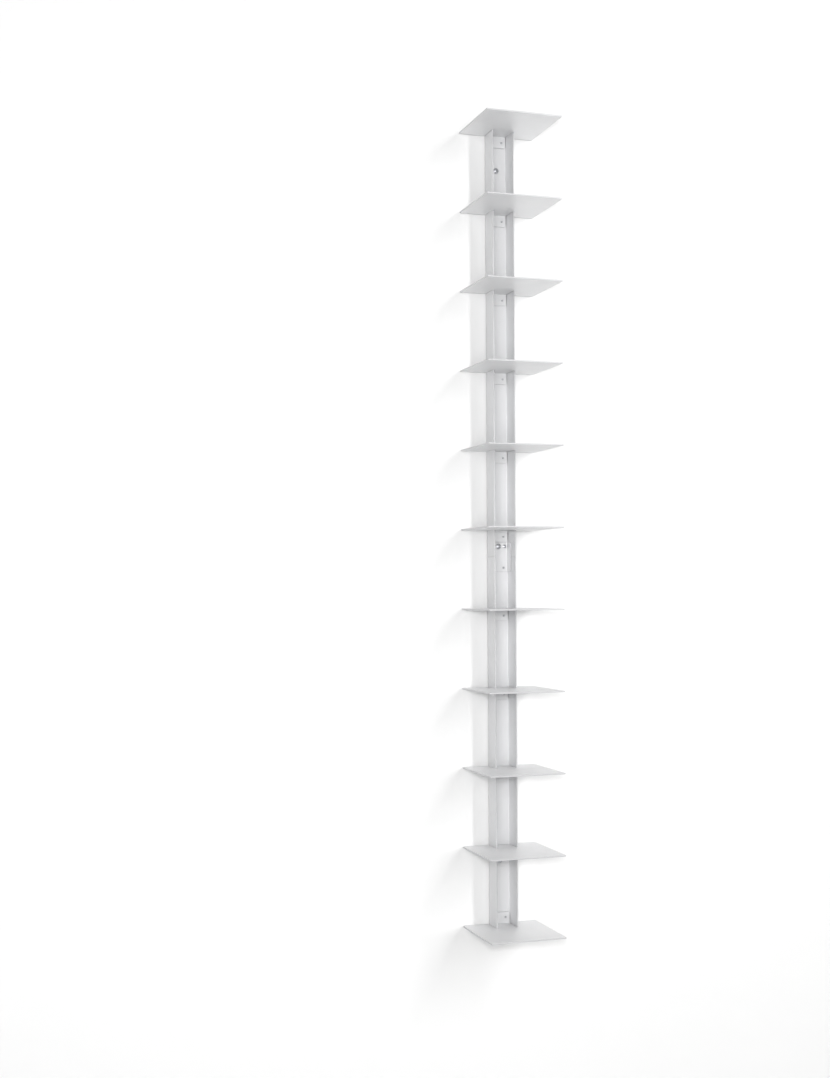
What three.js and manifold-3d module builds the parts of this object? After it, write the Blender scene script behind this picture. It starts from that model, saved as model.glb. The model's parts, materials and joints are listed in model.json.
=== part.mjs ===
import * as THREE from 'three';
import { mergeVertices } from 'three/addons/utils/BufferGeometryUtils.js';
import Module from 'manifold-3d';

// Spine bookshelf: an upright steel channel on a wall, with thin square plates along its whole height.
// Millimetres. +X is to the right as seen from the front, +Y goes into the wall, +Z is up.
// The origin is on the back of the channel, on its centre line, level with the middle plate.

// Shelf plates
const shelfCount = 11;
const shelfPitch = 175;
const plateWidth = 172;
const plateDepth = 172;
const plateThickness = 3;
const plateCornerRadius = 2;
const plateWallGap = 1; // from the plate's back edge to the wall
const edgeBreak = 0.4; // the small bevel on every sheet edge

// Column, a channel that opens to the front
const columnWidth = 51;
const columnDepth = 48;
const columnWall = 2.5;
const columnBendRadius = 3.5; // outside the fold
const columnJointDrop = 60; // from the middle plate down to the joint of the two halves
const columnJointGap = 0.3;

// Tongue that reaches between the flanges, and the tab turned down from it
const notchClearance = 0.3; // round the outside of the flanges
const tongueClearance = 1.5; // from the tongue's side to the inside of a flange
const tongueRoot = 3; // how far the tongue is rooted in the plate
const tabBendRadius = 4; // outside the fold
const tabDrop = 25; // below the plate
const tabCornerRadius = 4;

// Splice channel inside the column, across the joint
const spliceWall = 2;
const spliceDepth = 20;
const spliceHeight = 65;
const spliceBendRadius = 3;
const spliceRowInset = 9; // from the splice's end to its row of screws
const spliceScrewSpacing = 30; // between the two upper, pan-head screws

// Machine screws, countersunk from behind or with a pan head in front
const machineShankRadius = 2;
const flushHeadRadius = 3.75;
const flushHeadRecess = 0.2; // the head lies this far below the back of the web
const flushScrewLength = 8;
const panHeadRadius = 4;
const panHeadHeight = 2.6;
const panScrewLength = 4.5;
const shelfScrewSpacing = 24;
const shelfScrewDrop = 15; // from the plate's middle plane to the tab's screws

// Wall fixings
const wallHeadRadius = 4.6;
const wallHeadHeight = 3.2;
const wallScrewLength = 50;
const wallScrewPoint = 6;
const wallPointRadius = 0.5;
const wallScrewInset = 77; // from the top plate down to the top fixing
const washerRadius = 6.5;
const washerThickness = 1.2;
const plugRadius = 4;
const plugWall = 1.3; // round the screw, whose shank suits the bore that is left
const plugLength = 40;
const plugRecess = 3; // below the face of the wall
const plugCollar = 7; // the part of the plug that isn't slit
const plugSlit = 1.2;
const plugRibDepth = 0.5;
const plugRibs = 6;

// Clearances and fineness shared by all pieces
const seatGap = 0.3; // between a piece and the face that it seats on
const holeClearance = 0.3; // round a screw in its hole
const tipChamfer = 0.5;
const recessWidth = 0.9; // the cross recess in a screw head
const recessLength = 4;
const recessDepth = 1.1;
const overrun = 2; // how far a cutting body passes the faces that it cuts
const turnSteps = 12;
const foldSteps = 3;
const cornerSteps = 2;
const crownSteps = 3;
const crownShare = 0.55; // of a pan head's height, taken by its crown

const topShelf = 1;
const bottomShelf = shelfCount;
const plugBore = plugRadius - plugWall;
const wallShankRadius = plugBore - holeClearance;

const wasm = await Module();
wasm.setup();

const paint = { color: 0xd8d8da, roughness: 0.42, metalness: 0.25 };
const zinc = { color: 0xb9bbbf, roughness: 0.35, metalness: 0.9 };
const nylon = { color: 0xa8a8a4, roughness: 0.6, metalness: 0 };

function solidOf(geometry) {
  const bare = geometry.clone();
  bare.deleteAttribute('normal');
  bare.deleteAttribute('uv');
  const merged = mergeVertices(bare);
  const vertProperties = new Float32Array(merged.attributes.position.array);
  const triVerts = new Uint32Array(merged.index.array);
  return new wasm.Manifold(new wasm.Mesh({ numProp: 3, vertProperties, triVerts }));
}

function geometryOf(solid) {
  const mesh = solid.getMesh();
  const geometry = new THREE.BufferGeometry();
  geometry.setAttribute('position', new THREE.BufferAttribute(mesh.vertProperties, 3));
  geometry.setIndex(new THREE.BufferAttribute(mesh.triVerts, 1));
  geometry.computeVertexNormals();
  return geometry;
}

function cutAway(geometry, tools) {
  let solid = solidOf(geometry);
  for (const tool of tools) solid = solid.subtract(solidOf(tool));
  return geometryOf(solid);
}

function namedMesh(name, geometry, finish) {
  const mesh = new THREE.Mesh(geometry, new THREE.MeshStandardMaterial({ ...finish, flatShading: true }));
  mesh.name = name;
  return mesh;
}

// The height of a plate's middle plane, counted from the top plate down.
function shelfHeight(number) {
  return ((topShelf + bottomShelf) / 2 - number) * shelfPitch;
}

function twoDigits(number) {
  return String(number).padStart(2, '0');
}

// An outline of right-angled corners, each given as x, y and its radius, in anticlockwise order.
function roundedOutline(corners) {
  const shape = new THREE.Shape();
  corners.forEach(([x, y, radius], i) => {
    const corner = new THREE.Vector2(x, y);
    const [beforeX, beforeY] = corners[(i + corners.length - 1) % corners.length];
    const [afterX, afterY] = corners[(i + 1) % corners.length];
    const toBefore = new THREE.Vector2(beforeX, beforeY).sub(corner).normalize();
    const toAfter = new THREE.Vector2(afterX, afterY).sub(corner).normalize();
    const start = corner.clone().addScaledVector(toBefore, radius);
    if (i === 0) shape.moveTo(start.x, start.y);
    else shape.lineTo(start.x, start.y);
    if (radius === 0) return;
    const centre = start.clone().addScaledVector(toAfter, radius);
    const inward = toBefore.cross(toAfter) > 0; // a corner that points into the sheet turns clockwise
    shape.absarc(centre.x, centre.y, radius, toAfter.negate().angle(), toBefore.negate().angle(), inward);
  });
  shape.closePath();
  return shape;
}

// A flat sheet with bevelled edges, its middle plane at z = 0.
function bevelledSheet(shape, thickness) {
  const sheet = new THREE.ExtrudeGeometry(shape, {
    depth: thickness - 2 * edgeBreak,
    bevelThickness: edgeBreak,
    bevelSize: edgeBreak,
    bevelOffset: -edgeBreak,
    bevelSegments: 1,
    curveSegments: cornerSteps,
  });
  return sheet.translate(0, 0, edgeBreak - thickness / 2);
}

function plainExtrusion(shape, depth) {
  return new THREE.ExtrudeGeometry(shape, { depth, bevelEnabled: false, curveSegments: foldSteps });
}

// A round cutting body along Y.
function drill(x, z, radius, fromY, toY) {
  const body = new THREE.CylinderGeometry(radius, radius, toY - fromY, turnSteps);
  return body.translate(x, (fromY + toY) / 2, z);
}

// A right-angled cone that opens to the back of the web, for a flush head.
function countersink(x, z) {
  const mouth = flushHeadRadius + flushHeadRecess + holeClearance;
  const depth = mouth - machineShankRadius;
  const body = new THREE.CylinderGeometry(mouth + overrun, machineShankRadius, depth + overrun, turnSteps);
  return body.translate(x, (overrun - depth) / 2, z);
}

// The hole for a screw that is put in from behind: a countersink with the shank's hole through the web.
function flushHole(x, z) {
  const radius = machineShankRadius + holeClearance;
  return [drill(x, z, radius, -columnWall - overrun, overrun), countersink(x, z)];
}

// The section of a channel that opens to -Y, with its back at y = 0.
function channelSection(width, depth, wall, bendRadius) {
  const half = width / 2;
  const inner = half - wall;
  const innerRadius = bendRadius - wall;
  const cornerX = half - bendRadius;
  const shape = new THREE.Shape();
  shape.moveTo(inner, edgeBreak - depth);
  shape.lineTo(inner + edgeBreak, -depth);
  shape.lineTo(half - edgeBreak, -depth);
  shape.lineTo(half, edgeBreak - depth);
  shape.lineTo(half, -bendRadius);
  shape.absarc(cornerX, -bendRadius, bendRadius, 0, Math.PI / 2, false);
  shape.absarc(-cornerX, -bendRadius, bendRadius, Math.PI / 2, Math.PI, false);
  shape.lineTo(-half, edgeBreak - depth);
  shape.lineTo(edgeBreak - half, -depth);
  shape.lineTo(-inner - edgeBreak, -depth);
  shape.lineTo(-inner, edgeBreak - depth);
  shape.absarc(-cornerX, -bendRadius, innerRadius, Math.PI, Math.PI / 2, true);
  shape.absarc(cornerX, -bendRadius, innerRadius, Math.PI / 2, 0, true);
  shape.closePath();
  return shape;
}

// The tongue and tab as one folded strip, seen from the side: y goes along it and z up.
function tongueProfile() {
  const top = plateThickness / 2;
  const root = -columnDepth - notchClearance - tongueRoot;
  const back = -columnWall - seatGap;
  const foldY = back - tabBendRadius;
  const foldZ = top - tabBendRadius;
  const innerRadius = tabBendRadius - plateThickness;
  const shape = new THREE.Shape();
  shape.moveTo(root, -top);
  shape.lineTo(foldY, -top);
  shape.absarc(foldY, foldZ, innerRadius, Math.PI / 2, 0, true);
  shape.lineTo(foldY + innerRadius, -top - tabDrop);
  shape.lineTo(back, -top - tabDrop);
  shape.absarc(foldY, foldZ, tabBendRadius, 0, Math.PI / 2, false);
  shape.lineTo(root, top);
  shape.closePath();
  return shape;
}

const tongueWidth = columnWidth - 2 * (columnWall + tongueClearance);

function tongueAndTab() {
  const sideOn = new THREE.Matrix4().makeBasis(
    new THREE.Vector3(0, 1, 0),
    new THREE.Vector3(0, 0, 1),
    new THREE.Vector3(1, 0, 0),
  );
  const strip = plainExtrusion(tongueProfile(), tongueWidth).applyMatrix4(sideOn);
  strip.translate(-tongueWidth / 2, 0, 0);
  const half = tongueWidth / 2;
  const bottom = -plateThickness / 2 - tabDrop;
  const faceOn = roundedOutline([
    [-half, bottom, tabCornerRadius],
    [half, bottom, tabCornerRadius],
    [half, plateThickness, 0],
    [-half, plateThickness, 0],
  ]);
  const mask = plainExtrusion(faceOn, columnDepth + tongueRoot + overrun).rotateX(Math.PI / 2);
  return solidOf(strip).intersect(solidOf(mask));
}

// A plate with the notch for the column, its tongue and its drilled tab.
function shelfPlate() {
  const half = plateWidth / 2;
  const back = -plateWallGap;
  const front = back - plateDepth;
  const notchSide = columnWidth / 2 + notchClearance;
  const notchFront = -columnDepth - notchClearance;
  const outline = roundedOutline([
    [-half, front, plateCornerRadius],
    [half, front, plateCornerRadius],
    [half, back, plateCornerRadius],
    [notchSide, back, plateCornerRadius],
    [notchSide, notchFront, 0],
    [-notchSide, notchFront, 0],
    [-notchSide, back, plateCornerRadius],
    [-half, back, plateCornerRadius],
  ]);
  let solid = solidOf(bevelledSheet(outline, plateThickness)).add(tongueAndTab());
  const holeRadius = machineShankRadius + holeClearance;
  const tabFront = -columnWall - seatGap - plateThickness;
  for (const side of [-1, 1]) {
    const x = (side * shelfScrewSpacing) / 2;
    solid = solid.subtract(solidOf(drill(x, -shelfScrewDrop, holeRadius, tabFront - overrun, 0)));
  }
  return geometryOf(solid);
}

const jointHeight = -columnJointDrop;
const spliceTop = jointHeight + spliceHeight / 2;
const spliceBottom = jointHeight - spliceHeight / 2;
const upperRowHeight = spliceTop - spliceRowInset;
const lowerRowHeight = spliceBottom + spliceRowInset;

// The two screws of a tab. The bottom plate is turned over, so its tab and screws are above it.
function tabScrewHeight(number) {
  const drop = number === bottomShelf ? -shelfScrewDrop : shelfScrewDrop;
  return shelfHeight(number) - drop;
}

// The bottom fixing hides under the last plate but one: its washer lies just below that plate's tab.
const lastHungShelf = bottomShelf - 1;
const lastTabEnd = shelfHeight(lastHungShelf) - plateThickness / 2 - tabDrop;

const wallFixings = [
  { place: 'top', height: shelfHeight(topShelf) - wallScrewInset, seat: columnWall },
  { place: 'middle', height: upperRowHeight, seat: columnWall + seatGap + spliceWall },
  { place: 'bottom', height: lastTabEnd - seatGap - washerRadius, seat: columnWall },
];

// A half of the column from one height to another, with every hole that falls in it.
function columnHalf(bottom, top) {
  const section = channelSection(columnWidth, columnDepth, columnWall, columnBendRadius);
  const blank = plainExtrusion(section, top - bottom).translate(0, 0, bottom);
  const within = (height) => height > bottom && height < top;
  const tools = [];
  for (const side of [-1, 1]) {
    const tabX = (side * shelfScrewSpacing) / 2;
    for (let number = topShelf; number <= bottomShelf; number++) {
      const height = tabScrewHeight(number);
      if (within(height)) tools.push(...flushHole(tabX, height));
    }
    if (within(lowerRowHeight)) tools.push(...flushHole(tabX, lowerRowHeight));
    const panX = (side * spliceScrewSpacing) / 2;
    const panRadius = machineShankRadius + holeClearance;
    if (within(upperRowHeight)) {
      tools.push(drill(panX, upperRowHeight, panRadius, -columnWall - overrun, overrun));
    }
  }
  for (const { height } of wallFixings) {
    const radius = wallShankRadius + holeClearance;
    if (within(height)) tools.push(drill(0, height, radius, -columnWall - overrun, overrun));
  }
  return cutAway(blank, tools);
}

function spliceChannel() {
  const width = columnWidth - 2 * (columnWall + seatGap);
  const back = -columnWall - seatGap;
  const section = channelSection(width, spliceDepth, spliceWall, spliceBendRadius);
  const blank = plainExtrusion(section, spliceHeight).translate(0, back, spliceBottom);
  const machineHole = machineShankRadius + holeClearance;
  const front = back - spliceWall - overrun;
  const tools = [drill(0, upperRowHeight, wallShankRadius + holeClearance, front, 0)];
  for (const side of [-1, 1]) {
    tools.push(drill((side * spliceScrewSpacing) / 2, upperRowHeight, machineHole, front, 0));
    tools.push(drill((side * shelfScrewSpacing) / 2, lowerRowHeight, machineHole, front, 0));
  }
  return cutAway(blank, tools);
}

// A round body turned about Y from points of radius and place along Y, in rising order.
function turned(points) {
  return new THREE.LatheGeometry(points.map(([radius, y]) => new THREE.Vector2(radius, y)), turnSteps);
}

// A cross recess sunk from the plane at y into a head that lies above it.
function crossRecess(y) {
  const height = recessDepth + overrun;
  const arm = new THREE.BoxGeometry(recessLength, height, recessWidth);
  const cross = new THREE.BoxGeometry(recessWidth, height, recessLength);
  return [arm, cross].map((body) => body.translate(0, y + recessDepth - height / 2, 0));
}

// A countersunk screw along +Y, the face of its head at y = 0.
function flushScrew() {
  const body = turned([
    [0, 0],
    [flushHeadRadius, 0],
    [machineShankRadius, flushHeadRadius - machineShankRadius],
    [machineShankRadius, flushScrewLength - tipChamfer],
    [machineShankRadius - tipChamfer, flushScrewLength],
    [0, flushScrewLength],
  ]);
  return cutAway(body, crossRecess(0));
}

// The crown of a pan head, from its middle out to its rim.
function crownPoints(radius, height) {
  const crown = height * crownShare;
  const points = [];
  for (let i = 0; i <= crownSteps; i++) {
    const angle = (Math.PI / 2) * (i / crownSteps);
    points.push([radius * Math.sin(angle), -height + crown * (1 - Math.cos(angle))]);
  }
  return points;
}

// A pan-head screw along +Y, seated at y = 0, with a blunt or a pointed end.
function panScrew(headRadius, headHeight, shankRadius, length, point, pointRadius) {
  const body = turned([
    ...crownPoints(headRadius, headHeight),
    [headRadius, 0],
    [shankRadius, 0],
    [shankRadius, length - point],
    [pointRadius, length],
    [0, length],
  ]);
  return cutAway(body, crossRecess(-headHeight));
}

function machinePanScrew() {
  const end = machineShankRadius - tipChamfer;
  return panScrew(panHeadRadius, panHeadHeight, machineShankRadius, panScrewLength, tipChamfer, end);
}

function wallScrew() {
  const length = wallScrewLength;
  return panScrew(wallHeadRadius, wallHeadHeight, wallShankRadius, length, wallScrewPoint, wallPointRadius);
}

function washer() {
  const bore = wallShankRadius + holeClearance;
  return turned([
    [bore, 0],
    [washerRadius, 0],
    [washerRadius, washerThickness],
    [bore, washerThickness],
    [bore, 0],
  ]);
}

// A ribbed plug along +Y from y = 0, slit across beyond its collar.
function wallPlug() {
  const ribPitch = (plugLength - plugCollar) / plugRibs;
  const points = [[plugBore, 0], [plugRadius, 0], [plugRadius, plugCollar]];
  for (let i = 0; i < plugRibs; i++) {
    const start = plugCollar + i * ribPitch;
    points.push([plugRadius - plugRibDepth, start], [plugRadius, start + ribPitch]);
  }
  points.push([plugBore, plugLength], [plugBore, 0]);
  const slitLength = plugLength - plugCollar + overrun;
  const slit = new THREE.BoxGeometry(2 * plugRadius + overrun, slitLength, plugSlit);
  return cutAway(turned(points), [slit.translate(0, plugCollar + slitLength / 2, 0)]);
}

function columnGroup() {
  const group = new THREE.Group();
  const end = plateThickness / 2;
  const joint = columnJointGap / 2;
  const upper = columnHalf(jointHeight + joint, shelfHeight(topShelf) + end);
  const lower = columnHalf(shelfHeight(bottomShelf) - end, jointHeight - joint);
  group.add(namedMesh('column_upper', upper, paint));
  group.add(namedMesh('column_lower', lower, paint));
  group.add(namedMesh('splice_channel', spliceChannel(), paint));
  return group;
}

// Two screws put in from behind, at one height, at equal distances from the centre line.
function flushPair(names, height) {
  const group = new THREE.Group();
  names.forEach((name, i) => {
    const screw = namedMesh(name, flushScrew(), zinc);
    screw.position.set((i === 0 ? -shelfScrewSpacing : shelfScrewSpacing) / 2, -flushHeadRecess, height);
    screw.rotation.z = Math.PI;
    group.add(screw);
  });
  return group;
}

function shelfGroup(number) {
  const group = new THREE.Group();
  const label = twoDigits(number);
  const plate = namedMesh(`shelf_${label}`, shelfPlate(), paint);
  plate.position.z = shelfHeight(number);
  if (number === bottomShelf) plate.rotation.y = Math.PI;
  const names = [`shelf_screw_${label}_left`, `shelf_screw_${label}_right`];
  group.add(plate, flushPair(names, tabScrewHeight(number)));
  return group;
}

function spliceScrews() {
  const group = flushPair(['splice_screw_lower_left', 'splice_screw_lower_right'], lowerRowHeight);
  const seat = -columnWall - spliceWall - 2 * seatGap;
  for (const [place, x] of [['left', -spliceScrewSpacing / 2], ['right', spliceScrewSpacing / 2]]) {
    const screw = namedMesh(`splice_screw_upper_${place}`, machinePanScrew(), zinc);
    screw.position.set(x, seat, upperRowHeight);
    group.add(screw);
  }
  return group;
}

function wallFixingGroup({ place, height, seat }) {
  const group = new THREE.Group();
  const ring = namedMesh(`wall_washer_${place}`, washer(), zinc);
  ring.position.y = -seat - seatGap - washerThickness;
  const screw = namedMesh(`wall_screw_${place}`, wallScrew(), zinc);
  screw.position.y = ring.position.y - seatGap;
  const plug = namedMesh(`wall_plug_${place}`, wallPlug(), nylon);
  plug.position.y = plugRecess;
  group.add(ring, screw, plug);
  group.position.z = height;
  return group;
}

const bookshelf = new THREE.Group();
bookshelf.add(columnGroup(), spliceScrews());
for (let number = topShelf; number <= bottomShelf; number++) bookshelf.add(shelfGroup(number));
for (const fixing of wallFixings) bookshelf.add(wallFixingGroup(fixing));

export default bookshelf;
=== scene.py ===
import json
import math

import bmesh
import bpy
from mathutils import Matrix, Vector


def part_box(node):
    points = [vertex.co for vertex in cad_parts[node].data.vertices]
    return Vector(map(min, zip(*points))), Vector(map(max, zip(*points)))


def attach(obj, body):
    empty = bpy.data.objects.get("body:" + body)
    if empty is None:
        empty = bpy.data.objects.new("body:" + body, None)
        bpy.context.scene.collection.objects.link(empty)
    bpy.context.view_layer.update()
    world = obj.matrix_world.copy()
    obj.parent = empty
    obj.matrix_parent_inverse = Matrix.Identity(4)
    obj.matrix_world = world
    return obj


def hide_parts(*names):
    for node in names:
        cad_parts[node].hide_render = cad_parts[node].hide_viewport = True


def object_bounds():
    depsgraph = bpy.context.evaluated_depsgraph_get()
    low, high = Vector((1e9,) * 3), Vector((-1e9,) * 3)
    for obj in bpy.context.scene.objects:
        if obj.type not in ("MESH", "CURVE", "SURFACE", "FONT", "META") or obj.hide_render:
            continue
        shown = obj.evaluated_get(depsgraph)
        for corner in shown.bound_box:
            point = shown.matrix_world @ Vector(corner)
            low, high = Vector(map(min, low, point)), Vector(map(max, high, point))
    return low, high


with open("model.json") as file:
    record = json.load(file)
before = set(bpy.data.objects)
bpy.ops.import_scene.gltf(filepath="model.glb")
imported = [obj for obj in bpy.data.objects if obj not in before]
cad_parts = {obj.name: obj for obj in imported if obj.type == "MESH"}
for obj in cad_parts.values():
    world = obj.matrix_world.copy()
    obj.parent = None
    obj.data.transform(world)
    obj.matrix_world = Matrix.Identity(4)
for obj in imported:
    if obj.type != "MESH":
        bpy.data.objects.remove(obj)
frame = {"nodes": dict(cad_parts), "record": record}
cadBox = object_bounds()
print("frame: %d pieces loaded" % len(frame["nodes"]))

mm = 0.001


# Camera: to the left of the shelf and level with its middle

cameraSetup = {
    "place": (-1.170, -3.009, -0.132),
    "turn": 17.98,  # degrees to the right of square on to the wall
    "roll": 0.33,
    "focalPixels": 1449,
    "pictureHeight": 1078,
    "eyeLine": 590,  # picture row that the lens axis meets
    "sensor": 36,
    "clip": (0.05, 60),
}


def makeCamera(setup):
    turn = math.radians(setup["turn"])
    roll = math.radians(setup["roll"])
    forward = Vector((math.sin(turn), math.cos(turn), 0))
    level = Vector((math.cos(turn), -math.sin(turn), 0))
    upright = Vector((0, 0, 1))
    right = level * math.cos(roll) - upright * math.sin(roll)
    up = right.cross(forward)
    data = bpy.data.cameras.new("viewpoint")
    data.sensor_fit = "AUTO"
    data.sensor_width = setup["sensor"]
    data.lens = setup["focalPixels"] * setup["sensor"] / setup["pictureHeight"]
    data.shift_y = (setup["eyeLine"] - setup["pictureHeight"] / 2) / setup["pictureHeight"]
    data.clip_start, data.clip_end = setup["clip"]
    camera = bpy.data.objects.new("viewpoint", data)
    camera.matrix_world = Matrix((right, up, -forward)).transposed().to_4x4()
    camera.location = setup["place"]
    bpy.context.scene.collection.objects.link(camera)
    bpy.context.scene.camera = camera


makeCamera(cameraSetup)
print("camera: set")


# Shader helpers

def addNode(tree, kind, inputs=None, **settings):
    node = tree.nodes.new(kind)
    for name, value in settings.items():
        setattr(node, name, value)
    for name, value in (inputs or {}).items():
        socket = node.inputs[name]
        if isinstance(value, bpy.types.NodeSocket):
            tree.links.new(value, socket)
        else:
            socket.default_value = value
    return node


def mathNode(tree, operation, first, second=None, clamp=False):
    values = {0: first}
    if second is not None:
        values[1] = second
    return addNode(tree, "ShaderNodeMath", values, operation=operation, use_clamp=clamp).outputs[0]


wholeRange = (0.0, 1.0)


def ramp(tree, value, span, to=wholeRange):
    values = {"Value": value, "From Min": span[0], "From Max": span[1], "To Min": to[0], "To Max": to[1]}
    return addNode(tree, "ShaderNodeMapRange", values, clamp=True).outputs["Result"]


def mixColour(tree, share, first, second):
    # A colour is a socket or three numbers. The mix node keeps its colour sockets at 6 and 7.
    first, second = [(*colour, 1) if isinstance(colour, tuple) else colour for colour in (first, second)]
    values = {0: share, 6: first, 7: second}
    return addNode(tree, "ShaderNodeMix", values, data_type="RGBA").outputs[2]


def startGroup(name, inputs, outputs):
    group = bpy.data.node_groups.new(name, "ShaderNodeTree")
    for label, kind, value in inputs:
        socket = group.interface.new_socket(label, in_out="INPUT", socket_type=kind)
        if value is not None:
            socket.default_value = value
    for label, kind in outputs:
        group.interface.new_socket(label, in_out="OUTPUT", socket_type=kind)
    return group, group.nodes.new("NodeGroupInput"), group.nodes.new("NodeGroupOutput")


def placeGroup(tree, group, inputs):
    return addNode(tree, "ShaderNodeGroup", inputs, node_tree=group)


def addBump(tree, surface, height, depth):
    bump = addNode(tree, "ShaderNodeBump", {"Height": height, "Distance": depth, "Strength": 1.0})
    tree.links.new(bump.outputs["Normal"], surface.inputs["Normal"])


# Shared effects

coatGrainShape = {
    "gritShare": 0.25,  # of the grit's distance, added to the orange peel's height
    "gritRange": (0.1, 0.7),
    "driftRange": (0.3, 0.7),
}


def makeCoatGrain(shape):
    # The skin of a baked powder coat: shallow orange peel, fine grit, and slow drifts of tone.
    group, start, end = startGroup(
        "coat grain",
        [("Vector", "NodeSocketVector", None), ("Peel Scale", "NodeSocketFloat", 700.0),
         ("Grit Scale", "NodeSocketFloat", 4200.0), ("Drift Scale", "NodeSocketFloat", 7.0)],
        [("Height", "NodeSocketFloat"), ("Grit", "NodeSocketFloat"), ("Drift", "NodeSocketFloat")],
    )
    vector = start.outputs["Vector"]
    peel = addNode(group, "ShaderNodeTexNoise", {
        "Vector": vector, "Scale": start.outputs["Peel Scale"], "Detail": 1.5, "Roughness": 0.4})
    grit = addNode(group, "ShaderNodeTexVoronoi", {
        "Vector": vector, "Scale": start.outputs["Grit Scale"]}, feature="SMOOTH_F1")
    drift = addNode(group, "ShaderNodeTexNoise", {
        "Vector": vector, "Scale": start.outputs["Drift Scale"], "Detail": 3.0, "Roughness": 0.55})
    gritHeight = mathNode(group, "MULTIPLY", grit.outputs["Distance"], shape["gritShare"])
    height = mathNode(group, "ADD", peel.outputs[0], gritHeight)
    group.links.new(height, end.inputs["Height"])
    group.links.new(ramp(group, grit.outputs["Distance"], shape["gritRange"]), end.inputs["Grit"])
    group.links.new(ramp(group, drift.outputs[0], shape["driftRange"]), end.inputs["Drift"])
    return group


flakeGlintShape = {
    "rim": (0.25, 0.45),  # distances from a cell's middle between which its painted glint fades
}


def makeFlakeGlint(shape):
    # Metal flake under the coat, painted as painted glints: single lighter cells that stand in for flakes
    # catching the light, each a fraction of a millimetre wide.
    group, start, end = startGroup(
        "metal flake",
        [("Vector", "NodeSocketVector", None), ("Cell Scale", "NodeSocketFloat", 2600.0),
         ("Share", "NodeSocketFloat", 0.16)],
        [("Mask", "NodeSocketFloat")],
    )
    cells = addNode(group, "ShaderNodeTexVoronoi", {
        "Vector": start.outputs["Vector"], "Scale": start.outputs["Cell Scale"]})
    tone = addNode(group, "ShaderNodeSeparateColor", {"Color": cells.outputs["Color"]}).outputs[0]
    floor = mathNode(group, "SUBTRACT", 1.0, start.outputs["Share"])
    lit = mathNode(group, "GREATER_THAN", tone, floor)
    core = ramp(group, cells.outputs["Distance"], shape["rim"], (1.0, 0.0))
    group.links.new(mathNode(group, "MULTIPLY", lit, core), end.inputs["Mask"])
    return group


edgeWearShape = {
    "lift": 0.15,  # added to the noise, so that more of it counts as a patch
    "between": 0.4,  # the wear between the patches, where theirs is 1
}


def makeEdgeWear(shape):
    # Wear along an edge, full in patches and weaker between them; the silver paint darkens its edges by it,
    # partly as painted shade. Edge is 1 on the rounding itself.
    group, start, end = startGroup(
        "edge wear",
        [("Vector", "NodeSocketVector", None), ("Edge", "NodeSocketFloat", 0.0),
         ("Patch Scale", "NodeSocketFloat", 60.0), ("Amount", "NodeSocketFloat", 0.5)],
        [("Mask", "NodeSocketFloat")],
    )
    patches = addNode(group, "ShaderNodeTexNoise", {
        "Vector": start.outputs["Vector"], "Scale": start.outputs["Patch Scale"], "Detail": 4.0})
    low = mathNode(group, "SUBTRACT", 1.0, start.outputs["Amount"])
    reach = mathNode(group, "ADD", patches.outputs[0], shape["lift"])
    broken = mathNode(group, "GREATER_THAN", reach, low)
    rise = mathNode(group, "MULTIPLY", broken, 1 - shape["between"])
    soft = mathNode(group, "ADD", rise, shape["between"])
    group.links.new(mathNode(group, "MULTIPLY", soft, start.outputs["Edge"]), end.inputs["Mask"])
    return group


dustShape = {
    "sweptRange": (0.35, 0.75),
    "speckRange": (0.35, 0.65),
    "speckShare": (0.5, 1.0),  # of the veil, between the specks and on them
    "facing": (0.6, 0.95),  # how far up a face looks when dust begins to lie, and when it lies in full
}


def makeDust(shape):
    # Fine dust that settles on faces that look up, thinner where a hand or a cloth has been.
    group, start, end = startGroup(
        "settled dust",
        [("Vector", "NodeSocketVector", None), ("Amount", "NodeSocketFloat", 0.2)],
        [("Mask", "NodeSocketFloat")],
    )
    facing = addNode(group, "ShaderNodeNewGeometry")
    upward = addNode(group, "ShaderNodeSeparateXYZ", {"Vector": facing.outputs["True Normal"]}).outputs["Z"]
    swept = addNode(group, "ShaderNodeTexNoise", {
        "Vector": start.outputs["Vector"], "Scale": 18.0, "Detail": 5.0, "Roughness": 0.6})
    specks = addNode(group, "ShaderNodeTexNoise", {"Vector": start.outputs["Vector"], "Scale": 900.0})
    veil = ramp(group, swept.outputs[0], shape["sweptRange"])
    dotted = ramp(group, specks.outputs[0], shape["speckRange"], shape["speckShare"])
    speckled = mathNode(group, "MULTIPLY", veil, dotted)
    lying = mathNode(group, "MULTIPLY", speckled, ramp(group, upward, shape["facing"]))
    group.links.new(mathNode(group, "MULTIPLY", lying, start.outputs["Amount"]), end.inputs["Mask"])
    return group


turnedLineShape = {
    "blotchRange": (0.3, 0.7),
}


def makeTurnedLines(shape):
    # Fine concentric lines about the piece's own Y axis, as a lathe or a die leaves them.
    group, start, end = startGroup(
        "turned lines",
        [("Vector", "NodeSocketVector", None), ("Line Scale", "NodeSocketFloat", 2500.0)],
        [("Height", "NodeSocketFloat"), ("Tone", "NodeSocketFloat")],
    )
    parts = addNode(group, "ShaderNodeSeparateXYZ", {"Vector": start.outputs["Vector"]})
    across = mathNode(group, "POWER", parts.outputs["X"], 2.0)
    along = mathNode(group, "POWER", parts.outputs["Z"], 2.0)
    radius = mathNode(group, "SQRT", mathNode(group, "ADD", across, along))
    lines = addNode(group, "ShaderNodeTexNoise", {
        "W": mathNode(group, "MULTIPLY", radius, start.outputs["Line Scale"]), "Scale": 1.0},
        noise_dimensions="1D")
    blotches = addNode(group, "ShaderNodeTexNoise", {
        "Vector": start.outputs["Vector"], "Scale": 450.0, "Detail": 3.0})
    group.links.new(lines.outputs[0], end.inputs["Height"])
    group.links.new(ramp(group, blotches.outputs[0], shape["blotchRange"]), end.inputs["Tone"])
    return group


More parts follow.
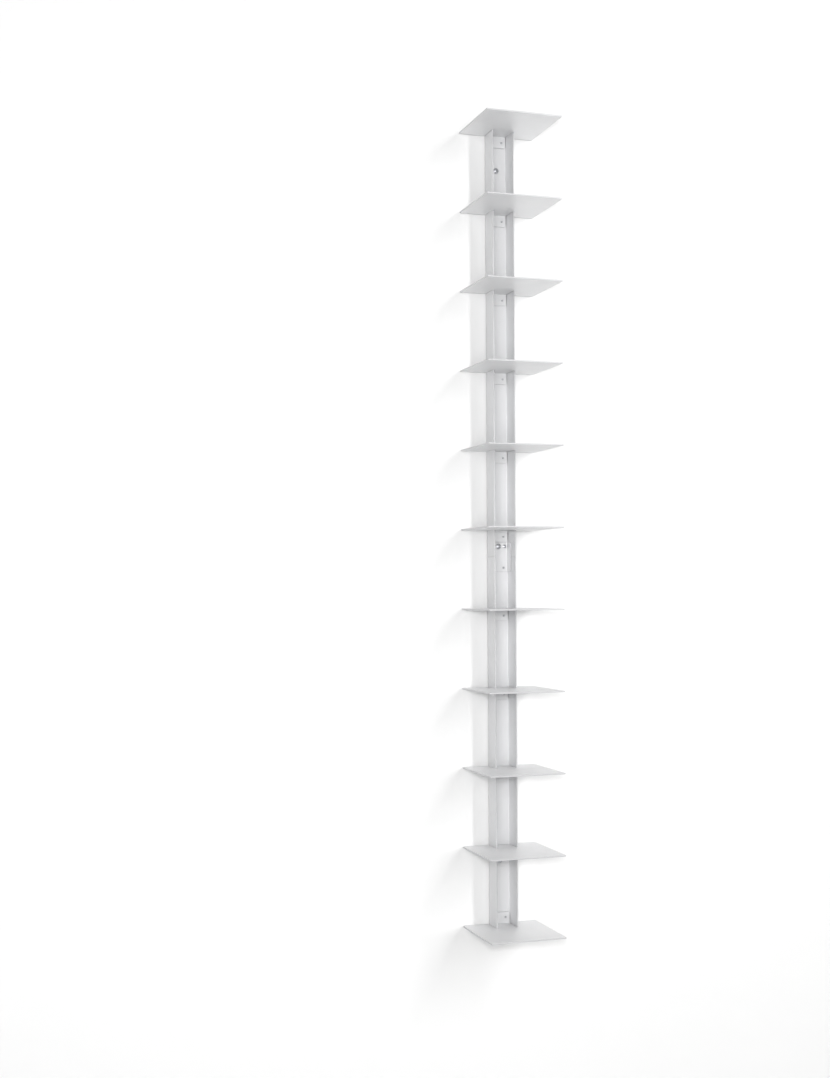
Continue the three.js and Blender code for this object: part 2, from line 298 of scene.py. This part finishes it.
coatGrain = makeCoatGrain(coatGrainShape)
metalFlakeGlint = makeFlakeGlint(flakeGlintShape)
edgeWear = makeEdgeWear(edgeWearShape)
settledDust = makeDust(dustShape)
turnedLines = makeTurnedLines(turnedLineShape)


# Materials

def startMaterial(name):
    material = bpy.data.materials.new(name)
    material.use_nodes = True
    tree = material.node_tree
    tree.nodes.clear()
    surface = addNode(tree, "ShaderNodeBsdfPrincipled")
    output = addNode(tree, "ShaderNodeOutputMaterial")
    tree.links.new(surface.outputs["BSDF"], output.inputs["Surface"])
    place = addNode(tree, "ShaderNodeTexCoord").outputs["Object"]
    return material, tree, surface, place


silverPaintLook = {
    "light": (0.735, 0.737, 0.743),
    "dark": (0.705, 0.707, 0.716),
    # the flake colour is painted glint, lighter specks in the coat's base colour
    "flakeGlint": (0.86, 0.87, 0.88),
    # cut edges: a thinned coat, and partly painted shade along the edges
    "cutEdgeAndShade": (0.54, 0.54, 0.55),
    "dust": (0.72, 0.71, 0.69),
    "metallic": 0.25,
    "roughness": (0.36, 0.46),  # of the light tone and of the dark one
    "gritRoughness": 0.05,
    "edgePolish": 0.1,
    "dustRoughness": 0.8,
    "peelDepth": 0.018 * mm,
    "flakeGlintAmount": 0.35,
    "wearAmount": 0.70,
    "dustAmount": 0.22,
}


def makeSilverPaint(look):
    material, tree, surface, place = startMaterial("silver powder coat")
    grain = placeGroup(tree, coatGrain, {"Vector": place})
    flakeGlint = placeGroup(tree, metalFlakeGlint, {"Vector": place})
    edge = addNode(tree, "ShaderNodeAttribute", attribute_name="edge")
    wear = placeGroup(tree, edgeWear, {
        "Vector": place, "Edge": edge.outputs["Fac"], "Amount": look["wearAmount"]})
    dust = placeGroup(tree, settledDust, {"Vector": place, "Amount": look["dustAmount"]})
    base = mixColour(tree, grain.outputs["Drift"], look["dark"], look["light"])
    # Painted glints: flake cells lightened in the base colour, standing in for metal flake that catches the
    # light.
    paintedGlint = mathNode(tree, "MULTIPLY", flakeGlint.outputs["Mask"], look["flakeGlintAmount"])
    glintFlecked = mixColour(tree, paintedGlint, base, look["flakeGlint"])
    # Cut edges darkened: a thinned coat, and partly painted shade along the roundings.
    edgedAndShaded = mixColour(tree, wear.outputs["Mask"], glintFlecked, look["cutEdgeAndShade"])
    dusty = mixColour(tree, dust.outputs["Mask"], edgedAndShaded, look["dust"])
    tree.links.new(dusty, surface.inputs["Base Color"])
    low, high = look["roughness"]
    rough = ramp(tree, grain.outputs["Drift"], wholeRange, (high, low))
    grit = mathNode(tree, "MULTIPLY", grain.outputs["Grit"], look["gritRoughness"])
    gritty = mathNode(tree, "ADD", rough, grit)
    polish = mathNode(tree, "MULTIPLY", wear.outputs["Mask"], look["edgePolish"])
    polished = mathNode(tree, "SUBTRACT", gritty, polish)
    dull = mathNode(tree, "MULTIPLY", dust.outputs["Mask"], look["dustRoughness"])
    tree.links.new(mathNode(tree, "ADD", polished, dull, clamp=True), surface.inputs["Roughness"])
    surface.inputs["Metallic"].default_value = look["metallic"]
    addBump(tree, surface, grain.outputs["Height"], look["peelDepth"])
    return material


zincLook = {
    "light": (0.62, 0.63, 0.65),
    "dark": (0.45, 0.46, 0.485),
    "worn": (0.76, 0.76, 0.77),
    "roughness": (0.30, 0.46),
    "lineDepth": 0.004 * mm,
    "wearScale": 300.0,
    "wearAmount": 0.6,
}


def makeZinc(look):
    material, tree, surface, place = startMaterial("bright zinc plate")
    lines = placeGroup(tree, turnedLines, {"Vector": place})
    edge = addNode(tree, "ShaderNodeAttribute", attribute_name="edge")
    wear = placeGroup(tree, edgeWear, {
        "Vector": place, "Edge": edge.outputs["Fac"], "Patch Scale": look["wearScale"],
        "Amount": look["wearAmount"]})
    base = mixColour(tree, lines.outputs["Tone"], look["dark"], look["light"])
    tree.links.new(mixColour(tree, wear.outputs["Mask"], base, look["worn"]), surface.inputs["Base Color"])
    low, high = look["roughness"]
    rough = ramp(tree, lines.outputs["Tone"], wholeRange, (high, low))
    tree.links.new(rough, surface.inputs["Roughness"])
    surface.inputs["Metallic"].default_value = 1.0
    addBump(tree, surface, lines.outputs["Height"], look["lineDepth"])
    return material


nylonLook = {
    "light": (0.46, 0.46, 0.45),
    "dark": (0.38, 0.38, 0.375),
    "roughness": (0.48, 0.62),
    "grainDepth": 0.012 * mm,
    "peelScale": 1600.0,
    "gritScale": 6000.0,
    "driftScale": 90.0,
}


def makeNylon(look):
    material, tree, surface, place = startMaterial("moulded grey nylon")
    grain = placeGroup(tree, coatGrain, {
        "Vector": place, "Peel Scale": look["peelScale"], "Grit Scale": look["gritScale"],
        "Drift Scale": look["driftScale"]})
    base = mixColour(tree, grain.outputs["Drift"], look["dark"], look["light"])
    tree.links.new(base, surface.inputs["Base Color"])
    rough = ramp(tree, grain.outputs["Grit"], wholeRange, look["roughness"])
    tree.links.new(rough, surface.inputs["Roughness"])
    addBump(tree, surface, grain.outputs["Height"], look["grainDepth"])
    return material


silverPaint = makeSilverPaint(silverPaintLook)
zincPlate = makeZinc(zincLook)
greyNylon = makeNylon(nylonLook)
finishes = {
    "silver_paint": silverPaint,
    "zinc_steel": zincPlate,
    "plug_nylon": greyNylon,
}
slotOfNode = {part["node"]: part["material_slot"] for part in frame["record"]["subparts"]}
print("materials: %d finishes made" % len(finishes))


# Pieces: helpers

def boxOf(nodeName):
    low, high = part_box(nodeName)
    return Vector(low), Vector(high)


def screwAxis(nodeName):
    low, high = boxOf(nodeName)
    return (low.x + high.x) / 2, (low.z + high.z) / 2


def nodesOf(starts):
    return [name for name in sorted(frame["nodes"]) if name.startswith(starts)]


def arc(centre, radius, start, end, steps):
    # Points on a circle from one angle to another, in degrees, with both ends among them.
    points = []
    for i in range(steps + 1):
        angle = math.radians(start + (end - start) * i / steps)
        points.append((centre[0] + radius * math.cos(angle), centre[1] + radius * math.sin(angle)))
    return points


def addTurned(builder, points, steps, x=0.0, z=0.0, closed=False):
    # Adds a round body along Y from points of radius and place. A radius may also be a function of the turn.
    rings = []
    for radius, y in points:
        if radius == 0:
            rings.append([builder.verts.new((x, y, z))])
            continue
        ring = []
        for i in range(steps):
            turn = i / steps
            reach = radius(turn) if callable(radius) else radius
            angle = 2 * math.pi * turn
            ring.append(builder.verts.new((x + reach * math.cos(angle), y, z + reach * math.sin(angle))))
        rings.append(ring)
    if closed:
        rings.append(rings[0])
    for near, far in zip(rings, rings[1:]):
        for i in range(steps):
            j = (i + 1) % steps
            corners = [near[i % len(near)], near[j % len(near)], far[j % len(far)], far[i % len(far)]]
            builder.faces.new(list(dict.fromkeys(corners)))


def meshFrom(builder, name):
    bmesh.ops.recalc_face_normals(builder, faces=builder.faces)
    mesh = bpy.data.meshes.new(name)
    builder.to_mesh(mesh)
    builder.free()
    return mesh


def applyModifiers(name, mesh, addModifiers):
    # Returns the mesh as the modifiers leave it.
    carrier = bpy.data.objects.new(name, mesh)
    bpy.context.scene.collection.objects.link(carrier)
    addModifiers(carrier.modifiers)
    depsgraph = bpy.context.evaluated_depsgraph_get()
    result = bpy.data.meshes.new_from_object(carrier.evaluated_get(depsgraph), depsgraph=depsgraph)
    bpy.data.objects.remove(carrier)
    result.name = name
    return result


def cutWith(mesh, cutter):
    # Takes the cutter's mesh out of the piece's mesh.
    tool = bpy.data.objects.new("cutter", cutter)
    bpy.context.scene.collection.objects.link(tool)

    def addCut(modifiers):
        cut = modifiers.new("holes", "BOOLEAN")
        cut.operation = "DIFFERENCE"
        cut.solver = "EXACT"
        cut.object = tool

    result = applyModifiers(mesh.name, mesh, addCut)
    bpy.data.objects.remove(tool)
    return result


smoothing = {"sharpAngle": 38, "weight": 90}


def smoothMesh(mesh):
    # Soft shading across the roundings, while the flats stay flat.
    mesh.shade_smooth()
    mesh.set_sharp_from_angle(angle=math.radians(smoothing["sharpAngle"]))

    def addWeighting(modifiers):
        weighted = modifiers.new("weighted normals", "WEIGHTED_NORMAL")
        weighted.keep_sharp = True
        weighted.weight = smoothing["weight"]

    return applyModifiers(mesh.name, mesh, addWeighting)


def markEdges(mesh, isEdge):
    # Writes the value that paint and plating read: 1 on cut edges and rims, 0 on the rest.
    values = [1.0 if isEdge(face) else 0.0 for face in mesh.polygons]
    mesh.attributes.new("edge", "FLOAT", "FACE").data.foreach_set("value", values)


def placePiece(name, mesh, nodeName, place=(0, 0, 0), turn=0.0):
    slot = slotOfNode[nodeName]
    mesh.polygons.foreach_set("material_index", [0] * len(mesh.polygons))
    mesh.materials.clear()
    mesh.materials.append(finishes[slot])
    piece = bpy.data.objects.new(name, mesh)
    piece.location = place
    piece.rotation_euler.z = turn
    bpy.context.scene.collection.objects.link(piece)
    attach(piece, "root")
    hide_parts(nodeName)


# Sizes of the screws, which the holes in the sheets follow

machineThread = {
    "shankRadius": 2 * mm,
    "rootRadius": 1.6 * mm,
    "pitch": 0.7 * mm,
    "ridgeShare": 1.0,  # of the pitch, taken by the ridge
    "plainLength": 0.4 * mm,
    "pointLength": 0.5 * mm,
    "pointShare": 0.75,  # of the radius that is left at the tip
}
flushScrewShape = {
    **machineThread,
    "headRadius": 3.75 * mm,
    "land": 0.1 * mm,  # the straight rim of the head
    "sunk": 0.2 * mm,  # below the back of the web
}
panScrewShape = {
    **machineThread,
    "headRadius": 4 * mm,
    "headHeight": 2.6 * mm,
}
wallScrewShape = {
    "headRadius": 4.6 * mm,
    "headHeight": 3.2 * mm,
    "shankRadius": 2.4 * mm,
    "rootRadius": 1.75 * mm,
    "pitch": 1.9 * mm,
    "ridgeShare": 0.45,
    "plainLength": 8 * mm,
    "pointLength": 6 * mm,
    "pointShare": 0.21,
}
screwKinds = (
    (flushScrewShape, ("shelf_screw", "splice_screw_lower")),
    (panScrewShape, ("splice_screw_upper",)),
    (wallScrewShape, ("wall_screw",)),
)
holeShape = {
    "clearance": 0.3 * mm,
    "overrun": 2 * mm,
    "steps": 40,
}


# Folded sheet: the column's two halves, the splice and the plates

sheetEdges = {
    "break": 0.4 * mm,
    "segments": 3,
    "limit": 50,  # degrees, so that only the cut edges are broken
}


def foldedSheet(name, points, faces, wall, cutter):
    # A sheet from its middle surface, with broken edges and its holes cut.
    surface = bpy.data.meshes.new(name)
    surface.from_pydata(points, [], faces)
    surface.materials.append(silverPaint)
    surface.materials.append(silverPaint)  # the second place only marks the cut edges

    def addWall(modifiers):
        solid = modifiers.new("wall", "SOLIDIFY")
        solid.thickness = wall
        solid.offset = 0
        solid.use_even_offset = True
        solid.material_offset_rim = 1
        broken = modifiers.new("broken edges", "BEVEL")
        broken.width = sheetEdges["break"]
        broken.segments = sheetEdges["segments"]
        broken.limit_method = "ANGLE"
        broken.angle_limit = math.radians(sheetEdges["limit"])
        broken.material = 1

    solid = smoothMesh(cutWith(applyModifiers(name, surface, addWall), cutter))
    markEdges(solid, lambda face: face.material_index == 1)
    return solid


def holeCutter(low, high, wall, sunk):
    # One mesh of all the screw holes through the web of a channel in the box from low to high.
    over = holeShape["overrun"]
    builder = bmesh.new()
    for shape, starts in screwKinds:
        bore = shape["shankRadius"] + holeShape["clearance"]
        points = [(0, -wall - over), (bore, -wall - over), (bore, over), (0, over)]
        if sunk and "sunk" in shape:
            mouth = shape["headRadius"] + shape["sunk"] + holeShape["clearance"]
            points[2:] = [(bore, bore - mouth), (mouth + over, over), (0, over)]
        places = [(radius, high.y + y) for radius, y in points]
        for name in nodesOf(starts):
            x, z = screwAxis(name)
            if low.z < z < high.z:
                addTurned(builder, places, holeShape["steps"], x, z)
    return meshFrom(builder, "holes")


def makeChannel(name, nodeName, shape, sunk):
    # A channel that opens to -Y, folded from its middle surface.
    low, high = boxOf(nodeName)
    wall = shape["wall"]
    bend = shape["bendRadius"] - wall / 2
    side = high.x - wall / 2
    turnY = high.y - wall / 2 - bend
    line = [(-side, low.y)]
    line += arc((bend - side, turnY), bend, 180, 90, shape["bendSteps"])
    line += arc((side - bend, turnY), bend, 90, 0, shape["bendSteps"])
    line.append((side, low.y))
    count = len(line)
    points = [(x, y, z) for z in (low.z, high.z) for x, y in line]
    faces = [(i, i + 1, count + i + 1, count + i) for i in range(count - 1)]
    mesh = foldedSheet(name, points, faces, wall, holeCutter(low, high, wall, sunk))
    placePiece(name, mesh, nodeName)


columnShape = {
    "wall": 2.5 * mm,
    "bendRadius": 3.5 * mm,  # outside the fold
    "bendSteps": 8,
}
spliceShape = {
    "wall": 2 * mm,
    "bendRadius": 3 * mm,
    "bendSteps": 8,
}
makeChannel("folded_upper_half", "column_upper", columnShape, True)
makeChannel("folded_lower_half", "column_lower", columnShape, True)
makeChannel("folded_splice", "splice_channel", spliceShape, False)
print("column: two halves and their splice folded")

plateShape = {
    "thickness": 3 * mm,
    "cornerRadius": 2 * mm,
    "cornerSteps": 6,
    "notchClearance": 0.3 * mm,  # round the outside of the flanges
    "tongueClearance": 1.5 * mm,  # to the inside of a flange
    "foldRadius": 4 * mm,  # outside the fold
    "foldSteps": 8,
    "seatGap": 0.3 * mm,  # from the tab to the web
    "tabCornerRadius": 4 * mm,
}


def plateOutline(shape, low, high, notchSide, notchFront, tongueSide, foldY):
    # The right half of the outline, from the front to the fold, and then its mirror image.
    radius, steps = shape["cornerRadius"], shape["cornerSteps"]
    half = arc((high.x - radius, low.y + radius), radius, -90, 0, steps)
    half += arc((high.x - radius, high.y - radius), radius, 0, 90, steps)
    half += arc((notchSide + radius, high.y - radius), radius, 90, 180, steps)
    half += [(notchSide, notchFront), (tongueSide, notchFront), (tongueSide, foldY)]
    return half + [(-x, y) for x, y in reversed(half)]


def makePlateMesh(shape):
    # A plate with its tongue folded down into a tab, its middle plane at z = 0.
    low, high = boxOf("shelf_01")
    columnLow, columnHigh = boxOf("column_upper")
    wall, thick = columnShape["wall"], shape["thickness"]
    notchSide = columnHigh.x + shape["notchClearance"]
    notchFront = columnLow.y - shape["notchClearance"]
    tongueSide = columnHigh.x - wall - shape["tongueClearance"]
    fold = shape["foldRadius"] - thick / 2
    tabY = columnHigh.y - wall - shape["seatGap"] - thick / 2
    foldY = tabY - fold
    outline = plateOutline(shape, low, high, notchSide, notchFront, tongueSide, foldY)
    points = [(x, y, 0) for x, y in outline]
    faces = [list(range(len(points)))]
    right = len(points) // 2 - 1
    left = right + 1
    for y, z in arc((foldY, -fold), fold, 90, 0, shape["foldSteps"])[1:]:
        points += [(tongueSide, y, z), (-tongueSide, y, z)]
        last = len(points) - 1
        faces.append([left, right, last - 1, last])
        left, right = last, last - 1
    corner = shape["tabCornerRadius"]
    tabEnd = thick / 2 - (high.z - low.z)
    rounded = arc((tongueSide - corner, tabEnd + corner), corner, 0, -90, shape["cornerSteps"])
    rounded += [(-x, z) for x, z in reversed(rounded)]
    first = len(points)
    points += [(x, tabY, z) for x, z in rounded]
    faces.append([left, right, *range(first, len(points))])
    bore = flushScrewShape["shankRadius"] + holeShape["clearance"]
    reach = thick / 2 + holeShape["overrun"]
    drill = [(0, tabY - reach), (bore, tabY - reach), (bore, tabY + reach), (0, tabY + reach)]
    middle = high.z - thick / 2
    builder = bmesh.new()
    for name in nodesOf("shelf_screw_01"):
        x, z = screwAxis(name)
        addTurned(builder, drill, holeShape["steps"], x, z - middle)
    return foldedSheet("plate", points, faces, thick, meshFrom(builder, "holes"))


def makePlates(shape):
    pattern = makePlateMesh(shape)
    names = [name for name in nodesOf("shelf_") if name not in nodesOf("shelf_screw")]
    for name in names:
        low, high = boxOf(name)
        half = shape["thickness"] / 2
        place = Matrix.Translation((0, 0, high.z - half))
        if name == names[-1]:  # the bottom plate is turned over, so its tab stands up
            place = Matrix.Translation((0, 0, low.z + half)) @ Matrix.Rotation(math.pi, 4, "Y")
        mesh = pattern.copy()
        mesh.transform(place)
        placePiece("folded_" + name, mesh, name)
    print("plates: %d folded" % len(names))


makePlates(plateShape)


# Turned and threaded pieces

turning = {
    "steps": 32,
    "ringsPerPitch": 8,
    "crownSteps": 10,
    "crownShare": 0.55,  # of a pan head's height
    "rim": 0.15 * mm,  # rounding under a pan head
    "rimShare": 0.93,  # of the head's radius, beyond which it is a rim
}
crossShape = {
    "length": 4 * mm,
    "width": 0.9 * mm,
    "depth": 1.1 * mm,
    "lengthShare": 0.5,  # of the length, left at the bottom
    "widthShare": 0.7,
}


def threadRings(shape, start, end):
    # The thread, as rings whose radius changes round the turn. It fades in and narrows with the point.
    pitch, outer, root = shape["pitch"], shape["shankRadius"], shape["rootRadius"]
    count = round((end - start) / pitch * turning["ringsPerPitch"])
    rings = []
    for k in range(count + 1):
        y = start + (end - start) * k / count
        rise = min(1, (y - start) / pitch)
        past = max(0, y - end + shape["pointLength"]) / shape["pointLength"]
        taper = 1 - (1 - shape["pointShare"]) * past

        def reach(turn, y=y, rise=rise, taper=taper):
            phase = (y / pitch + turn) % 1
            ridge = max(0, 1 - abs(phase - 0.5) * 2 / shape["ridgeShare"])
            return taper * (root + (outer - root) * ridge * rise)

        rings.append((reach, y))
    return rings


def crossCutter(top):
    # A cross that narrows as it goes down, cut into a head whose top is at y = top.
    over, depth = holeShape["overrun"], crossShape["depth"]
    rings = []
    builder = bmesh.new()
    for y, down in ((top - over, -over / depth), (top + depth, 1)):
        far = crossShape["length"] / 2 * (1 - (1 - crossShape["lengthShare"]) * down)
        near = crossShape["width"] / 2 * (1 - (1 - crossShape["widthShare"]) * down)
        quarter = [Vector((far, -near)), Vector((far, near)), Vector((near, near))]
        ring = [Matrix.Rotation(math.pi / 2 * i, 2) @ corner for i in range(4) for corner in quarter]
        rings.append([builder.verts.new((x, y, z)) for x, z in ring])
        builder.faces.new(rings[-1])
    count = len(rings[0])
    for i in range(count):
        j = (i + 1) % count
        builder.faces.new([rings[0][i], rings[0][j], rings[1][j], rings[1][i]])
    return meshFrom(builder, "cross")


def screwMesh(name, shape, length):
    # A screw along +Y. A flush head has its face at y = 0, and a pan head is seated there.
    head, shank = shape["headRadius"], shape["shankRadius"]
    height = shape.get("headHeight", 0)
    if height:
        crown, rim = height * turning["crownShare"], turning["rim"]
        quarter = arc((0, crown - height), 1, -90, 0, turning["crownSteps"])
        points = [(head * x, (y + height - crown) * crown + crown - height) for x, y in quarter]
        points[0] = (0, -height)
        points += [(head, -rim), (head - rim, 0), (shank, 0)]
        neck = 0
    else:
        land = shape["land"]
        neck = land + head - shank
        points = [(0, 0), (head - land, 0), (head, land), (shank, neck)]
    threadStart = neck + shape["plainLength"]
    points += threadRings(shape, threadStart, length - height)
    points.append((0, length - height))
    builder = bmesh.new()
    addTurned(builder, points, turning["steps"])
    mesh = smoothMesh(cutWith(meshFrom(builder, name), crossCutter(-height)))
    markEdges(mesh, lambda face: math.hypot(face.center.x, face.center.z) > turning["rimShare"] * head)
    return mesh


def makeScrews():
    made = 0
    for shape, starts in screwKinds:
        names = nodesOf(starts)
        low, high = boxOf(names[0])
        pattern = screwMesh("screw", shape, high.y - low.y)
        for name in names:
            low, high = boxOf(name)
            x, z = screwAxis(name)
            if "sunk" in shape:  # put in from behind
                placePiece("threaded_" + name, pattern.copy(), name, (x, high.y, z), math.pi)
            else:
                placePiece("threaded_" + name, pattern.copy(), name, (x, low.y + shape["headHeight"], z))
        made += len(names)
    print("screws: %d threaded" % made)


makeScrews()

washerShape = {
    "steps": 48,
    "bore": wallScrewShape["shankRadius"] + holeShape["clearance"],
    "rolledEdge": 0.3 * mm,  # on the front, where the die pressed in
    "edgeSteps": 4,
    "sheared": 0.1 * mm,  # the small chamfer on the back
}


def makeWashers(shape):
    names = nodesOf("wall_washer")
    for name in names:
        low, high = boxOf(name)
        x, z = screwAxis(name)
        outer, thick = (high.x - low.x) / 2, high.y - low.y
        rolled, sheared = shape["rolledEdge"], shape["sheared"]
        points = [(shape["bore"], rolled), (shape["bore"] + rolled, 0)]
        points += arc((outer - rolled, rolled), rolled, -90, 0, shape["edgeSteps"])
        points += [(outer, thick - sheared), (outer - sheared, thick), (shape["bore"], thick)]
        builder = bmesh.new()
        addTurned(builder, points, shape["steps"], closed=True)
        mesh = smoothMesh(meshFrom(builder, name))
        markEdges(mesh, lambda face: math.hypot(face.center.x, face.center.z) > outer - rolled)
        placePiece("pressed_" + name, mesh, name, (x, low.y, z))
    print("washers: %d pressed" % len(names))


makeWashers(washerShape)

plugShape = {
    "steps": 48,
    "bore": 2.7 * mm,
    "collar": 7 * mm,
    "slit": 1.2 * mm,
    "slitReach": 4,  # times the plug's radius, so that the slit goes through both sides
    "ribs": 6,
    "ribDepth": 0.5 * mm,
    "ribLandShare": 0.25,  # of a rib's length, along its crest
    "lip": 0.25 * mm,  # rounding at the ends
    "finHalfShare": 0.02,  # of the turn, half the width of a fin
    "finEnd": 24 * mm,
}


def makePlugs(shape):
    # Moulded plugs with a collar, ribs, two thin fins above and below, and a slit that lets them spread.
    names = nodesOf("wall_plug")
    for name in names:
        low, high = boxOf(name)
        x, z = screwAxis(name)
        outer, length = (high.x - low.x) / 2, high.y - low.y
        bore, collar, lip = shape["bore"], shape["collar"], shape["lip"]
        ribPitch = (length - collar) / shape["ribs"]

        def finned(radius):
            def reach(turn):
                aside = abs(turn % 0.5 - 0.25)
                return outer if aside <= shape["finHalfShare"] else radius
            return reach

        points = [(bore, 0), (outer - lip, 0), (outer, lip), (outer, collar)]
        for i in range(shape["ribs"]):
            start = collar + i * ribPitch
            end = start + ribPitch
            crest = end - ribPitch * shape["ribLandShare"]
            rib = [(outer - shape["ribDepth"], start), (outer, crest), (outer, end)]
            points += [(finned(radius), y) if y < shape["finEnd"] else (radius, y) for radius, y in rib]
        points[-1] = (outer, length - lip)
        points += [(outer - lip, length), (bore, length)]
        builder = bmesh.new()
        addTurned(builder, points, shape["steps"], closed=True)
        slit = bmesh.new()
        bmesh.ops.create_cube(slit, size=1)
        reach = length - collar + holeShape["overrun"]
        bmesh.ops.scale(slit, verts=slit.verts, vec=(shape["slitReach"] * outer, reach, shape["slit"]))
        bmesh.ops.translate(slit, verts=slit.verts, vec=(0, collar + reach / 2, 0))
        mesh = smoothMesh(cutWith(meshFrom(builder, name), meshFrom(slit, "slit")))
        placePiece("moulded_" + name, mesh, name, (x, low.y, z))
    print("plugs: %d moulded" % len(names))


makePlugs(plugShape)


# Room: a wall that the shelf hangs on, which shows from the front only, and a pale floor.

roomSetup = {
    "wallGap": 0.4 * mm,  # behind the column's back
    "halfWidth": 9.0,
    "wallTop": 5.0,
    "floorHeight": -1.6,
    "floorDepth": 12.0,
    "wallColour": (0.78, 0.78, 0.78),
    "floorColour": (0.46, 0.46, 0.455),
    "seeThrough": 5 * mm,  # rays this short pass the wall, so that light reaches the column's back
}
roomPaintLook = {
    "rollerScale": 320.0,
    "rollerDetail": 2.0,
    "rollerDepth": 0.02 * mm,
    "roughness": 0.9,
    "specular": 0.2,
}


def makePlane(name, corners, material):
    mesh = bpy.data.meshes.new(name)
    mesh.from_pydata(corners, [], [range(len(corners))])
    mesh.materials.append(material)
    plane = bpy.data.objects.new(name, mesh)
    bpy.context.scene.collection.objects.link(plane)
    return plane


def makeRoomPaint(name, look, colour, see=None):
    material, tree, surface, place = startMaterial(name)
    roller = addNode(tree, "ShaderNodeTexNoise", {
        "Vector": place, "Scale": look["rollerScale"], "Detail": look["rollerDetail"]})
    addBump(tree, surface, roller.outputs[0], look["rollerDepth"])
    surface.inputs["Base Color"].default_value = (*colour, 1)
    surface.inputs["Roughness"].default_value = look["roughness"]
    surface.inputs["Specular IOR Level"].default_value = look["specular"]
    if see is None:
        return material
    behind = addNode(tree, "ShaderNodeNewGeometry").outputs["Backfacing"]
    near = mathNode(tree, "LESS_THAN", addNode(tree, "ShaderNodeLightPath").outputs["Ray Length"], see)
    passes = mathNode(tree, "MAXIMUM", behind, near)
    clear = addNode(tree, "ShaderNodeBsdfTransparent")
    either = addNode(tree, "ShaderNodeMixShader", {0: passes, 1: surface.outputs[0], 2: clear.outputs[0]})
    output = next(node for node in tree.nodes if node.type == "OUTPUT_MATERIAL")
    tree.links.new(either.outputs[0], output.inputs["Surface"])
    return material


def makeRoom(setup):
    side, low, high = setup["halfWidth"], setup["floorHeight"], setup["wallTop"]
    wallFace, depth = setup["wallGap"], setup["floorDepth"]
    wallPaint = makeRoomPaint("matt white wall", roomPaintLook, setup["wallColour"], setup["seeThrough"])
    wall = makePlane("wall", [(-side, wallFace, low), (side, wallFace, low), (side, wallFace, high),
                              (-side, wallFace, high)], wallPaint)
    wall.visible_shadow = False
    floorPaint = makeRoomPaint("pale floor", roomPaintLook, setup["floorColour"])
    makePlane("floor", [(-side, -depth, low), (side, -depth, low), (side, depth, low),
                        (-side, depth, low)], floorPaint)


makeRoom(roomSetup)

lightSetup = {
    "sky": 0.25,
    "besideLens": {"offset": (0.0, 0.0, 0.16), "size": (0.24, 0.24), "power": 31},
    "window": {"side": 37, "rise": 17, "distance": 5.0, "size": (0.5, 4.2), "power": 156},
    "front": {"side": -20, "rise": -2, "distance": 5.5, "size": (3.0, 3.6), "power": 145},
    "rear": {"side": 140, "rise": 1, "distance": 4.0, "size": (2.2, 2.2), "power": 26},
}


def makeAreaLight(name, place, target, size, power):
    data = bpy.data.lights.new(name, "AREA")
    data.shape = "RECTANGLE"
    data.size, data.size_y = size
    data.energy = power
    lamp = bpy.data.objects.new(name, data)
    lamp.location = place
    lamp.rotation_euler = (Vector(target) - Vector(place)).to_track_quat("-Z", "Y").to_euler()
    bpy.context.scene.collection.objects.link(lamp)
    return lamp


def makeLights(setup):
    lens = setup["besideLens"]
    centre = (cadBox[0] + cadBox[1]) / 2
    besideLens = Vector(cameraSetup["place"]) + Vector(lens["offset"])
    makeAreaLight("lamp beside lens", besideLens, centre, lens["size"], lens["power"])
    for name in ("window", "front", "rear"):
        lamp = setup[name]
        side, rise = math.radians(lamp["side"]), math.radians(lamp["rise"])
        level = math.cos(rise)
        toLamp = Vector((math.sin(side) * level, -math.cos(side) * level, math.sin(rise)))
        makeAreaLight(name + " light", toLamp * lamp["distance"], (0, 0, 0), lamp["size"], lamp["power"])
    world = bpy.data.worlds.new("pale surroundings")
    world.use_nodes = True
    sky = world.node_tree.nodes["Background"]
    sky.inputs["Color"].default_value = (1, 1, 1, 1)
    sky.inputs["Strength"].default_value = setup["sky"]
    bpy.context.scene.world = world
    bpy.context.scene.view_settings.view_transform = "Standard"


makeLights(lightSetup)
print("room and lights: set")
